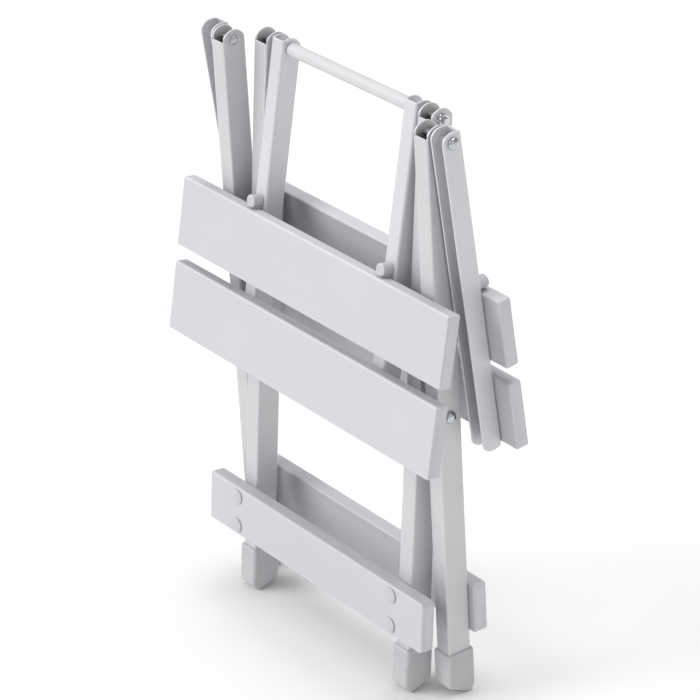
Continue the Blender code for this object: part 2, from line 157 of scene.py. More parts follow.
class StoolSlatSettings(bpy.types.PropertyGroup):
    """Sizes and colours of the slats and crossbars."""

    edge: size("Long edge radius", "Radius along the slats' long edges", 1.5 * MM)
    end_edge: size("End radius", "Radius of the ends' upright edges", 1.2 * MM)
    slat_corner: size("Slat corner", "Radius of the slats' corners, seen from the front", 1.6 * MM)
    bar_end: size("Crossbar end radius", "Radius of the crossbars' upright end edges", 2.0 * MM)
    bar_corner: size("Crossbar corner", "Radius of the bars' corners, seen from the front", 3.0 * MM)
    board_colour: colour("Slats", "Moulded slats and crossbars", COLOUR_OF["slat_plastic"])
    grain: share("Grain", "Depth of the moulded grain", 0.35)


class StoolFittingSettings(bpy.types.PropertyGroup):
    """Sizes and colours of the feet, buttons, pegs, bolts and screws."""

    foot_corner: size("Foot corner", "Radius of the feet's upright corners", 2.4 * MM)
    foot_rim: size("Foot rim radius", "Radius of the feet's upper outside edge", 2.0 * MM)
    sole_edge: size("Sole edge", "Radius around the sole", 1.3 * MM)
    heel: size("Heel length", "From a foot's outer face in to its lowest line", 5.6 * MM)
    heel_rise: size("Heel rise", "How far the heel climbs to the outer face", 5.0 * MM)
    sides: IntProperty(name="Sides", description="Points round each turned piece", default=48, min=12)
    foot_colour: colour("Feet", "Moulded feet", COLOUR_OF["foot_plastic"])
    button_colour: colour("Buttons", "Rivet caps", COLOUR_OF["button_cap"])
    bumper_colour: colour("Bumpers", "Pegs and spacers", COLOUR_OF["bumper_plastic"])
    steel_colour: colour("Steel", "Zinc-plated bolts, nuts and screws", (0.5, 0.515, 0.54))


class StoolStageSettings(bpy.types.PropertyGroup):
    """The camera and the studio round the stool."""

    azimuth: degrees("Azimuth", "Camera's turn from the front", 53.576)
    elevation: degrees("Elevation", "Camera's height angle", 25.369)
    roll: degrees("Roll", "Camera's roll", -0.662)
    distance: size("Distance", "From the camera to its target", 2.4525)
    lens: FloatProperty(name="Lens", description="Focal length in millimetres", default=172.78, min=1.0)
    target: FloatVectorProperty(
        name="Target",
        description="What the camera looks at, measured from the scissor pivot",
        default=(0.00219, 0.00583, 0.00359),
        subtype="TRANSLATION",
    )
    floor_colour: colour("Floor", "Studio floor and backdrop", (0.87, 0.87, 0.87))


# ------------------------------
# Body frames


class BodyFrame:
    """A body's own frame: an origin on its pivot axis, and a tilt about X."""

    def __init__(self, origin, tilt):
        self.origin = np.array(origin, float)
        self.tilt = tilt

    def world(self, points):
        """Local points turned about X by the tilt, then moved to the origin."""
        c, s = math.cos(self.tilt), math.sin(self.tilt)
        x, y, z = np.moveaxis(np.asarray(points, float), -1, 0)
        return np.stack([x, y * c - z * s, y * s + z * c], -1) + self.origin

    def local(self, points):
        """World points taken back to the body's frame."""
        c, s = math.cos(self.tilt), math.sin(self.tilt)
        x, y, z = np.moveaxis(np.asarray(points, float) - self.origin, -1, 0)
        return np.stack([x, y * c + z * s, -y * s + z * c], -1)

    def points(self, node):
        """A node's vertices in this frame."""
        mesh = frame["nodes"][node].data
        flat = np.empty(len(mesh.vertices) * 3, np.float32)
        mesh.vertices.foreach_get("co", flat)
        return self.local(flat.reshape(-1, 3))

    def box(self, node):
        """A node's lowest and highest corners in this frame."""
        points = self.points(node)
        return points.min(0), points.max(0)


def body_frames():
    """Each body's frame, from the joints' places and the tilt of the near slats' face."""
    scissor = np.array(JOINTS["inner_leg_swing"]["pos_m"])
    near_pivot = np.array(JOINTS["near_seat_lift"]["pos_m"])
    far_pivot = np.array(JOINTS["far_seat_lift"]["pos_m"])
    rise = near_pivot - scissor
    leg_tilt = math.atan2(rise[1], rise[2])
    face = next(m for m in RECORD["mounts"] if m["name"] == "near_slat_upper_face")
    seat_tilt = math.atan2(face["axis"][2], -face["axis"][1])
    return {
        "scissor_pins": BodyFrame(scissor, 0.0),
        "inner_frame": BodyFrame(scissor, -leg_tilt),
        "outer_frame": BodyFrame(scissor, leg_tilt),
        "near_seat": BodyFrame(near_pivot, -seat_tilt),
        "far_seat": BodyFrame(far_pivot, seat_tilt),
    }


FRAMES = body_frames()
# which way along Y a body's outer face looks
FACING = {"scissor_pins": 0, "inner_frame": -1, "near_seat": -1, "outer_frame": 1, "far_seat": 1}


def nodes_named(*words):
    """The frame's nodes whose names hold every one of the words, in order of name."""
    return [node for node in sorted(frame["nodes"]) if all(word in node for word in words)]


def boxed(nodes):
    """Each node with its facing, and the low and high corners of its box in its body's frame."""
    for node in nodes:
        body = BODY_OF[node]
        yield node, FACING[body], *FRAMES[body].box(node)


def reach_along(low, high, facing):
    """How far a box reaches along Y towards a facing, which is 1 or -1."""
    return high[1] if facing > 0 else -low[1]


def middle_at(low, high, y):
    """The middle of a box in X and Z, at a given Y."""
    return ((low[0] + high[0]) / 2, y, (low[2] + high[2]) / 2)


def side_pin(low, high):
    """A pin along X: the sign of its outward direction, and its outer and inner ends' distances."""
    sign = 1 if high[0] > 0 else -1
    inner, outer = sorted((sign * low[0], sign * high[0]))
    return sign, outer, inner


# ------------------------------
# Surfaces


def rounded_loop(half_x, half_y, radius, steps=6, support=0.9 * MM):
    """A rounded rectangle: four quarter circles, each with a point a little way along the flats.

    Returns the points, how far each one lies on a rounded edge (0 to 1), and outward normals.
    """
    turn = np.linspace(0.0, math.pi / 2, steps + 1)
    points, mask, normals = [], [], []
    for quarter in range(4):
        angle = turn + quarter * math.pi / 2
        sign_x = 1 if quarter in (0, 3) else -1
        sign_y = 1 if quarter in (0, 1) else -1
        centre = np.array([sign_x * (half_x - radius), sign_y * (half_y - radius)])
        ray = np.stack([np.cos(angle), np.sin(angle)], 1)
        arc = centre + radius * ray
        before = arc[0] + support * np.array([ray[0, 1], -ray[0, 0]])
        after = arc[-1] + support * np.array([-ray[-1, 1], ray[-1, 0]])
        points.append(np.vstack([before, arc, after]))
        normals.append(np.vstack([ray[0], ray, ray[-1]]))
        mask.append(np.concatenate([[0.0], np.sin(2 * turn) ** 0.5 * 0.9 + 0.1, [0.0]]))
    return np.vstack(points), np.concatenate(mask), np.vstack(normals)


def lofted_mesh(name, rings, mask, closed=False):
    """A surface through rings of points, as quads between each ring and the next.

    An open run of rings is closed with a flat face over its first and its last ring. The faces
    are turned over together if the volume that they hold comes out negative.
    """
    rings = np.asarray(rings, float)
    count, around = rings.shape[:2]
    index = np.arange(count * around).reshape(count, around)
    following = np.roll(index, -1, 0) if closed else index[1:]
    current = index if closed else index[:-1]
    quads = np.stack([current, np.roll(current, -1, 1), np.roll(following, -1, 1), following], -1)
    faces = quads.reshape(-1, 4).tolist()
    if not closed:
        faces += [index[0][::-1].tolist(), index[-1].tolist()]
    points = rings.reshape(-1, 3)
    if signed_volume(points, faces) < 0:
        faces = [face[::-1] for face in faces]
    mesh = bpy.data.meshes.new(name)
    mesh.from_pydata(points.tolist(), [], faces)
    layer = mesh.attributes.new(EDGE_MASK, "FLOAT", "POINT")
    layer.data.foreach_set("value", np.broadcast_to(mask, (count, around)).astype(np.float32).ravel())
    mesh.shade_smooth()
    mesh.set_sharp_from_angle(angle=SHARP_ANGLE)
    mesh.update()
    return mesh


def signed_volume(points, faces):
    """Six times the volume inside the faces, by summing their triangles' triple products."""
    fans = [(face[0], face[k], face[k + 1]) for face in faces for k in range(1, len(face) - 1)]
    corners = np.array(fans)
    a, b, c = np.moveaxis(points[corners] - points.mean(0), 1, 0)
    return float(np.einsum("ij,ij->i", a, np.cross(b, c)).sum())


def bar_rings(low, high, long_radius, end_radius, corner, steps=8):
    """A bar along X: a rounded rectangle carried along it, shrinking round each end.

    At a turn t from 0 to 90 degrees past its end's start, a rounding of radius r has taken the
    section in by r(1 - cos t) and along by r sin t. The bar's height goes in by the corners'
    radius and its depth by the smaller radius of its ends.
    """
    middle = (low + high) / 2
    half = (high - low) / 2
    turn = np.linspace(0.0, math.pi / 2, steps + 1)
    # (distance from the middle, how far the height has gone in, share of a rounded edge)
    ends = [(half[0] - corner - 2 * MM, 0.0, 0.0)]
    for t in turn:
        along = half[0] - corner * (1 - math.sin(t))
        ends.append((along, corner * (1 - math.cos(t)), 0.8 * math.sin(2 * t)))
    ends.append((half[0], corner + 0.8 * MM, 0.0))
    stations = [(-x, inset, edge) for x, inset, edge in reversed(ends)] + ends
    rings, masks = [], []
    for x, inset, edge in stations:
        past = min(max(abs(x) - half[0] + end_radius, 0.0), end_radius)
        shallow = end_radius - math.sqrt(end_radius**2 - past**2) + max(inset - corner, 0.0)
        radius = max(long_radius - shallow, 0.25 * MM)
        loop, mask, _ = rounded_loop(half[1] - shallow, half[2] - inset, radius)
        rings.append(np.column_stack([np.full(len(loop), x), loop]) + middle)
        masks.append(np.maximum(mask, edge))
    return np.array(rings), np.array(masks)


def turned_rings(profile, sides, hexagonal=0.0):
    """Circles of radius r at height h along the local Z, one for each (r, h) of the profile.

    A share of a ring can be hexagonal: its radius is then r cos 30 / cos a, where a is the
    angle from the middle of the nearest flat.
    """
    profile = np.asarray(profile, float)
    angle = np.arange(sides) * 2 * math.pi / sides
    circle = np.stack([np.cos(angle), np.sin(angle)], 1)
    flat_angle = (angle + math.pi / 6) % (math.pi / 3) - math.pi / 6
    hexagon = math.cos(math.pi / 6) / np.cos(flat_angle)
    shape = 1.0 + np.broadcast_to(hexagonal, len(profile))[:, None] * (hexagon - 1.0)
    flat = (profile[:, 0, None] * shape)[..., None] * circle
    height = np.broadcast_to(profile[:, 1, None, None], (*flat.shape[:2], 1))
    return np.concatenate([flat, height], -1)


def arc_profile(centre_r, centre_h, radius, start, end, steps):
    """Points of a quarter or other arc in (r, h), its angles in degrees from the +r direction."""
    angle = np.radians(np.linspace(start, end, steps + 1))
    return [(centre_r + radius * math.cos(a), centre_h + radius * math.sin(a)) for a in angle]


def aim(rings, axis, sign, place):
    """Turned rings whose height runs along one axis, in the direction of sign, from a place."""
    x, y, h = np.moveaxis(rings, -1, 0)
    out = {"X": (sign * h, x, y), "Y": (x, sign * h, y)}[axis]
    return np.stack(out, -1) + np.asarray(place)


# ------------------------------
# Materials


def new_group(name, inputs, outputs):
    """A node group with named float, vector or colour sockets, and its two end nodes."""
    group = bpy.data.node_groups.new(name, "ShaderNodeTree")
    kinds = {"float": "NodeSocketFloat", "vector": "NodeSocketVector", "colour": "NodeSocketColor"}
    for label, kind, default in inputs:
        socket = group.interface.new_socket(name=label, in_out="INPUT", socket_type=kinds[kind])
        if default is not None:
            socket.default_value = default
    for label, kind in outputs:
        group.interface.new_socket(name=label, in_out="OUTPUT", socket_type=kinds[kind])
    start = group.nodes.new("NodeGroupInput")
    end = group.nodes.new("NodeGroupOutput")
    return group, start, end


def add_node(tree, kind, **values):
    node = tree.nodes.new(kind)
    for label, value in values.items():
        setattr(node, label, value)
    return node


def connect(tree, value, socket):
    """Links an output to an input, or sets the input to a number or a colour."""
    if isinstance(value, bpy.types.NodeSocket):
        tree.links.new(value, socket)
    else:
        socket.default_value = value


def feed(tree, node, **values):
    """Connects values to a node's inputs by their names, with an underscore for each space."""
    for label, value in values.items():
        connect(tree, value, node.inputs[label.replace("_", " ")])


def maths(tree, operation, first, second, clamp=False):
    """A Math node on two outputs or numbers, and its output."""
    node = add_node(tree, "ShaderNodeMath", operation=operation, use_clamp=clamp)
    connect(tree, first, node.inputs[0])
    connect(tree, second, node.inputs[1])
    return node.outputs[0]


def mix_colour(tree, factor, first, second):
    """A Mix node by a factor between two colours or outputs, and its output."""
    node = add_node(tree, "ShaderNodeMix", data_type="RGBA")
    feed(tree, node, Factor=factor, A=first, B=second)
    return node.outputs["Result"]


def noise(tree, vector, scale, detail=2.0, roughness=0.5):
    """A Noise texture on a vector, with a number or an output for its scale."""
    node = add_node(tree, "ShaderNodeTexNoise")
    feed(tree, node, Vector=vector, Scale=scale, Detail=detail, Roughness=roughness)
    return node.outputs["Fac"]


def grain_group():
    """Moulded or anodised grain: fine noise for the height, and broad noise for the mottling."""
    inputs = [("Vector", "vector", None), ("Scale", "float", 2500.0), ("Mottle Scale", "float", 18.0)]
    group, start, end = new_group("Fine grain", inputs, [("Height", "float"), ("Mottle", "float")])
    fine = noise(group, start.outputs["Vector"], start.outputs["Scale"], 3.0, 0.6)
    coarse_scale = maths(group, "MULTIPLY", start.outputs["Scale"], 0.31)
    coarse = noise(group, start.outputs["Vector"], coarse_scale, 2.0)
    fine_share = maths(group, "MULTIPLY", fine, 0.6)
    coarse_share = maths(group, "MULTIPLY", coarse, 0.4)
    group.links.new(maths(group, "ADD", fine_share, coarse_share), end.inputs["Height"])
    mottle = noise(group, start.outputs["Vector"], start.outputs["Mottle Scale"], 4.0, 0.55)
    group.links.new(mottle, end.inputs["Mottle"])
    return group


def streak_group():
    """Drawn-metal streaks: noise squeezed across the length, so that it runs in long lines."""
    inputs = [("Vector", "vector", None), ("Across", "float", 900.0), ("Along", "float", 9.0)]
    group, start, end = new_group("Drawn streaks", inputs, [("Streak", "float")])
    split = add_node(group, "ShaderNodeSeparateXYZ")
    group.links.new(start.outputs["Vector"], split.inputs[0])
    join = add_node(group, "ShaderNodeCombineXYZ")
    for axis, factor in (("X", "Across"), ("Y", "Across"), ("Z", "Along")):
        scaled = maths(group, "MULTIPLY", split.outputs[axis], start.outputs[factor])
        group.links.new(scaled, join.inputs[axis])
    group.links.new(noise(group, join.outputs[0], 1.0, 3.0, 0.65), end.inputs["Streak"])
    return group


def wear_and_highlight_group():
    """Rubbed edges and painted edge highlights: the edge mask, broken up by noise and scaled by an amount."""
    inputs = [("Vector", "vector", None), ("Edge", "float", 0.0), ("Amount", "float", 0.5)]
    group, start, end = new_group("Edge rub and painted highlight", inputs, [("Mask", "float")])
    patch = noise(group, start.outputs["Vector"], 160.0, 4.0, 0.7)
    broken = maths(group, "SMOOTH_MIN", maths(group, "MULTIPLY", patch, 1.6), 1.0)
    masked = maths(group, "MULTIPLY", broken, start.outputs["Edge"])
    scaled = maths(group, "MULTIPLY", masked, start.outputs["Amount"], clamp=True)
    group.links.new(scaled, end.inputs["Mask"])
    return group


def painted_shade_group():
    """Painted shade inside the tubes: where the edge mask is below nought, broken up by noise."""
    inputs = [("Vector", "vector", None), ("Edge", "float", 0.0), ("Amount", "float", 0.75)]
    group, start, end = new_group("Painted shade inside", inputs, [("Mask", "float")])
    inside = maths(group, "MULTIPLY", start.outputs["Edge"], -1.0, clamp=True)
    patch = noise(group, start.outputs["Vector"], 240.0, 4.0, 0.6)
    broken = maths(group, "ADD", maths(group, "MULTIPLY", patch, 0.5), 0.75, clamp=True)
    scaled = maths(group, "MULTIPLY", maths(group, "MULTIPLY", inside, broken), start.outputs["Amount"])
    group.links.new(scaled, end.inputs["Mask"])
    return group


def handling_group():
    """Handling marks: soft smudges, in which the finish is a little rougher or smoother."""
    inputs = [("Vector", "vector", None), ("Scale", "float", 30.0)]
    inputs += [("Low", "float", 0.35), ("High", "float", 0.5)]
    group, start, end = new_group("Handling marks", inputs, [("Roughness", "float")])
    blot = noise(group, start.outputs["Vector"], start.outputs["Scale"], 5.0, 0.6)
    spread = add_node(group, "ShaderNodeMapRange", interpolation_type="SMOOTHSTEP")
    feed(group, spread, Value=blot, From_Min=0.35, From_Max=0.65)
    feed(group, spread, To_Min=start.outputs["Low"], To_Max=start.outputs["High"])
    group.links.new(spread.outputs["Result"], end.inputs["Roughness"])
    return group


def shared_group(name, make):
    """A node group by name, made the first time that it is asked for."""
    return bpy.data.node_groups.get(name) or make()


def place_group(tree, name, make, vector, **values):
    """An instance of a shared group on a vector, with its own input values."""
    node = add_node(tree, "ShaderNodeGroup", node_tree=shared_group(name, make))
    feed(tree, node, Vector=vector, **values)
    return node


def finish_material(name, base, metallic, low, high, grain_scale, grain_depth, streaks, wear_and_highlight, coat=0.0):
    """A material from the shared groups.

    The colour is the base, slightly mottled, paler where an edge is rubbed or carries a painted
    highlight, and darker with painted shade inside the tubes. Roughness runs between low and high
    with the handling marks, and the bump is the grain, with drawn streaks added on bare metal.
    """
    made = bpy.data.materials.new(name)
    made.use_nodes = True
    tree = made.node_tree
    shader = tree.nodes["Principled BSDF"]
    feed(tree, shader, Metallic=metallic, Coat_Weight=coat, Coat_Roughness=COAT_ROUGHNESS)
    place = add_node(tree, "ShaderNodeTexCoord").outputs["Object"]
    edge = add_node(tree, "ShaderNodeAttribute", attribute_name=EDGE_MASK).outputs["Fac"]

    grain = place_group(tree, "Fine grain", grain_group, place, Scale=grain_scale)
    marks = place_group(tree, "Handling marks", handling_group, place, Low=low, High=high)
    # rubbed edges, together with painted highlights along the edges
    rubbed = place_group(tree, "Edge rub and painted highlight", wear_and_highlight_group, place, Edge=edge, Amount=wear_and_highlight)
    # painted shade inside the tubes
    inside = place_group(tree, "Painted shade inside", painted_shade_group, place, Edge=edge)

    dark = (*[c * MOTTLE[0] for c in base], 1.0)
    pale = (*[min(1.0, c * MOTTLE[1]) for c in base], 1.0)
    # paler towards white on rubbed edges and painted edge highlights
    bare = (*[c + (1.0 - c) * RUB_AND_HIGHLIGHT_PALER for c in base], 1.0)
    # darker for the painted shade inside the tubes
    painted_shade_colour = (*[c * PAINTED_SHADE_SHARE for c in base], 1.0)
    mottled = mix_colour(tree, grain.outputs["Mottle"], dark, pale)
    # edges paled by rubbing and painted highlight
    worn_or_highlit = mix_colour(tree, rubbed.outputs["Mask"], mottled, bare)
    # then darkened by the painted shade inside the tubes
    with_painted_shade = mix_colour(tree, inside.outputs["Mask"], worn_or_highlit, painted_shade_colour)

    height = grain.outputs["Height"]
    roughness = marks.outputs["Roughness"]
    if streaks:
        drawn = place_group(tree, "Drawn streaks", streak_group, place)
        height = maths(tree, "ADD", height, maths(tree, "MULTIPLY", drawn.outputs["Streak"], streaks))
        centred = maths(tree, "SUBTRACT", drawn.outputs["Streak"], 0.5)
        swing = maths(tree, "MULTIPLY", centred, STREAK_SWING)
        roughness = maths(tree, "ADD", roughness, swing, clamp=True)
    bump = add_node(tree, "ShaderNodeBump")
    feed(tree, bump, Strength=grain_depth, Distance=BUMP_DISTANCE, Height=height)
    feed(tree, shader, Base_Color=with_painted_shade, Roughness=roughness, Normal=bump.outputs["Normal"])
    return made


def finish_for(slot):
    """The material of a slot of the record, made once, with the colours of the settings."""
    name = f"stool_{slot}"
    known = bpy.data.materials.get(name)
    if known:
        return known
    metal = bpy.context.scene.stool_metal
    slats = bpy.context.scene.stool_slats
    fittings = bpy.context.scene.stool_fittings
    # colour, metallic, lowest and highest roughness, grain scale and depth, streaks, wear_and_highlight, coat
    recipes = {
        "leg_tube": (metal.tube_colour, 0.35, 0.42, 0.5, 1800.0, 0.25, 0.8, metal.wear_and_highlight),
        "seat_rail": (metal.rail_colour, 0.35, 0.42, 0.5, 1800.0, 0.25, 0.8, metal.wear_and_highlight),
        "handle_paint": (metal.handle_colour, 0.0, 0.3, 0.42, 1200.0, 0.3, 0.0, 0.1, 0.2),
        "slat_plastic": (slats.board_colour, 0.0, 0.5, 0.6, 1500.0, slats.grain, 0.0, 0.3),
        "foot_plastic": (fittings.foot_colour, 0.0, 0.5, 0.62, 1400.0, 0.5, 0.0, 0.35),
        "button_cap": (fittings.button_colour, 0.0, 0.38, 0.48, 1600.0, 0.2, 0.0, 0.25),
        "bumper_plastic": (fittings.bumper_colour, 0.0, 0.42, 0.52, 1600.0, 0.25, 0.0, 0.25),
        "zinc_steel": (fittings.steel_colour, 1.0, 0.14, 0.26, 2200.0, 0.2, 0.3, 0.9),
    }
    return finish_material(name, *recipes[slot])


# ------------------------------
# Putting pieces on the frame


def pieces_collection():
    found = bpy.data.collections.get(COLLECTION)
    if not found:
        found = bpy.data.collections.new(COLLECTION)
        bpy.context.scene.collection.children.link(found)
    return found


def finish_piece(node, suffix, rings, mask, closed=False):
    """Makes a node's finished piece from rings in its body's frame, and puts it on that body."""
    body = BODY_OF[node]
    name = f"{node}_{suffix}"
    mesh = lofted_mesh(name, FRAMES[body].world(rings), mask, closed)
    mesh.materials.append(finish_for(SLOT_OF[node]))
    piece = bpy.data.objects.new(name, mesh)
    pieces_collection().objects.link(piece)
    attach(piece, body)
    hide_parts(node)


def finish_turned(node, suffix, profile, mask, axis, sign, place, hexagonal=0.0, sides=None):
    """Makes a node's finished piece by turning a profile, aimed along an axis from a place."""
    sides = sides or bpy.context.scene.stool_fittings.sides
    rings = aim(turned_rings(profile, sides, hexagonal), axis, sign, place)
    finish_piece(node, suffix, rings, np.array(mask)[:, None])


# ------------------------------
# Operators


class STOOL_OT_legs(bpy.types.Operator):
    """Build the four tube legs, with round ears on their side walls"""

    bl_idname = "stool.legs"
    bl_label = "Legs"

    def execute(self, context):
        settings = context.scene.stool_metal
        for node, _, low, high in boxed(nodes_named("_leg_")):
            rings, mask = leg_rings(low, high, settings)
            finish_piece(node, "tube", rings, mask, closed=True)
        return {"FINISHED"}


def leg_rings(low, high, settings):
    """A tube wall carried round a rounded rectangle.

    Each point of the section carries a loop: up the outer face, over the rim, and down the
    inner face, where the mask goes below nought to paint shade inside the tube. The rim stands at
    centre + sqrt(R^2 - y^2) on the side walls, which makes the ears, and at the mouth's height on
    the end walls. R is half the tube's depth.
    """
    half_x, reach = (high[0] - low[0]) / 2, (high[1] - low[1]) / 2
    centre = high[2] - reach
    path, mask, normals = dense_loop(half_x, reach, settings.corner)
    ear = np.sqrt(np.maximum(reach**2 - path[:, 1] ** 2, 0.0))
    wall, rim = settings.wall, settings.rim
    on_side = np.clip((np.abs(path[:, 0]) - half_x + wall) / (0.5 * rim) + 1.0, 0.0, 1.0)
    top = centre + settings.mouth + on_side * (ear - settings.mouth)
    # (inward, below the rim): the outer face, the softened rim, and the inner face
    depth = high[2] - low[2]
    loop = [(0.0, depth), (0.0, 3 * rim), (0.0, rim), (0.3 * rim, 0.3 * rim), (rim, 0.0)]
    loop += [(wall - rim, 0.0), (wall - 0.3 * rim, 0.3 * rim), (wall, rim), (wall, 3 * rim)]
    loop += [(wall, settings.painted_shade_depth), (wall, depth)]
    # the inner face's values below nought paint shade inside the tube
    rim_mask = np.array([0.0, 0.0, 0.7, 1.0, 0.6, 0.6, 1.0, 0.7, 0.0, -1.0, -1.0])
    inward, below = np.array(loop).T
    section = path[:, None, :] - inward[None, :, None] * normals[:, None, :]
    height = np.where(below == depth, low[2], top[:, None] - below)
    middle_x = (low[0] + high[0]) / 2
    rings = np.concatenate([section + [middle_x, 0.0], height[..., None]], -1)
    # rounded corners and the rim are paled for rubbing and painted edge highlights
    worn_or_highlit = np.maximum(mask[:, None] * 0.8, rim_mask[None, :])
    return rings, np.where(rim_mask[None, :] < 0, rim_mask[None, :], worn_or_highlit)


def dense_loop(half_x, half_y, radius):
    """A rounded rectangle with extra points along its long sides, closer towards the corners."""
    loop, mask, normals = rounded_loop(half_x, half_y, radius, steps=8, support=0.3 * MM)
    per_corner = len(loop) // 4
    lift = np.sin(np.linspace(-math.pi / 2, math.pi / 2, 26))[1:-1] / 2 + 0.5
    out, out_mask, out_normals = [], [], []
    for corner in range(4):
        part = slice(corner * per_corner, (corner + 1) * per_corner)
        start = loop[part][-1]
        end = loop[(corner + 1) * per_corner % len(loop)]
        between = start + lift[:, None] * (end - start)
        out += [loop[part], between]
        out_mask += [mask[part], np.zeros(len(between))]
        out_normals += [normals[part], np.broadcast_to(normals[part][-1], between.shape)]
    return np.vstack(out), np.concatenate(out_mask), np.vstack(out_normals)


class STOOL_OT_feet(bpy.types.Operator):
    """Build the four moulded feet, with slanted soles"""

    bl_idname = "stool.feet"
    bl_label = "Feet"

    def execute(self, context):
        settings = context.scene.stool_fittings
        for node in nodes_named("_foot_"):
            rings, mask = foot_rings(node, BODY_OF[node], settings)
            finish_piece(node, "cap", rings, mask)
        return {"FINISHED"}


def foot_rings(node, body, settings):
    """A foot cap as rounded rectangles, over the sole, round its edge, up the side and down inside.

    A sole ring's height is that of the sole under each of its points, plus a rise. With u the
    distance outwards from the sole's lowest line, the sole stands at a u past the line and at
    -b u before it, joined smoothly as (p + q + sqrt((p - q)^2 + s^2)) / 2.
    """
    low, high = FRAMES[body].box(node)
    leg_low, leg_high = FRAMES[body].box(node.replace("foot", "leg"))
    half = (high - low) / 2
    middle = (high + low) / 2
    lip = half[0] - (leg_high[0] - leg_low[0]) / 2 - 0.1 * MM
    slant = inner_rise(node, body) / (2 * half[1] - settings.heel)
    heel_slant = settings.heel_rise / settings.heel
    edge, rim = settings.sole_edge, settings.foot_rim
    turn = np.linspace(math.pi / 2, 0.0, 6)
    # (inset, rise over the sole, or else a level, share of a rounded edge)
    stations = [(half[0] - 0.4 * MM, 0.0, None, 0.0), (0.55 * half[0], 0.0, None, 0.0)]
    stations += [(edge + 0.8 * MM, 0.0, None, 0.0)]
    stations += [(edge * (1 - math.cos(t)), edge * (1 - math.sin(t)), None, 1.0) for t in turn]
    top = high[2]
    stations += [(0.0, 0.0, top - rim - 1.0 * MM, 0.0)]
    stations += [(rim * (1 - math.cos(t)), 0.0, top - rim + rim * math.sin(t), 0.7) for t in turn[::-1]]
    stations += [(lip, 0.0, top - 0.1 * MM, 0.2), (lip, 0.0, leg_low[2] - 0.15 * MM, 0.0)]
    rings, masks = [], []
    for inset, rise, level, edge_share in stations:
        radius = max(settings.foot_corner - inset, LEAST_RADIUS)
        loop, mask, _ = dense_loop(half[0] - inset, half[1] - inset, radius)
        outward = FACING[body] * loop[:, 1] - (half[1] - settings.heel)
        heel, sole = heel_slant * outward, -slant * outward
        bend = (heel + sole + np.sqrt((heel - sole) ** 2 + SOLE_BEND**2)) / 2
        height = low[2] - SOLE_DROP + bend + rise if level is None else np.full(len(loop), level)
        rings.append(np.column_stack([loop + middle[:2], height]))
        masks.append(np.maximum(mask * 0.8, edge_share))
    rings = np.array(rings)
    rings[..., 2] = np.maximum(rings[..., 2], low[2])
    return rings, np.array(masks)


def inner_rise(node, body):
    """How far a foot's sole has climbed at its inner face, over its lowest line."""
    points = FRAMES[body].points(node)
    across = points[:, 1] * FACING[body]
    inner = points[across < across.min() + 0.1 * MM]
    return inner[:, 2].min() - points[:, 2].min()


class STOOL_OT_slats(bpy.types.Operator):
    """Build the four seat slats"""

    bl_idname = "stool.slats"
    bl_label = "Slats"

    def execute(self, context):
        settings = context.scene.stool_slats
        sizes = (settings.edge, settings.end_edge, settings.slat_corner)
        for node, _, low, high in boxed(nodes_named("_slat_")):
            rings, mask = bar_rings(low + SLAT_SLACK, high - SLAT_SLACK, *sizes)
            finish_piece(node, "board", rings, mask)
        return {"FINISHED"}


class STOOL_OT_crossbars(bpy.types.Operator):
    """Build the two crossbars"""

    bl_idname = "stool.crossbars"
    bl_label = "Crossbars"

    def execute(self, context):
        settings = context.scene.stool_slats
        sizes = (settings.edge, settings.bar_end, settings.bar_corner)
        for node, _, low, high in boxed(("near_crossbar", "far_crossbar")):
            rings, mask = bar_rings(low, high, *sizes)
            finish_piece(node, "bar", rings, mask)
        return {"FINISHED"}


class STOOL_OT_rails(bpy.types.Operator):
    """Build the four channel rails that carry the slats"""

    bl_idname = "stool.rails"
    bl_label = "Rails"

    def execute(self, context):
        settings = context.scene.stool_metal
        for node, facing, low, high in boxed(nodes_named("_rail_")):
            rings, mask = rail_rings(low, high, facing, settings)
            finish_piece(node, "channel", rings, mask)
        return {"FINISHED"}


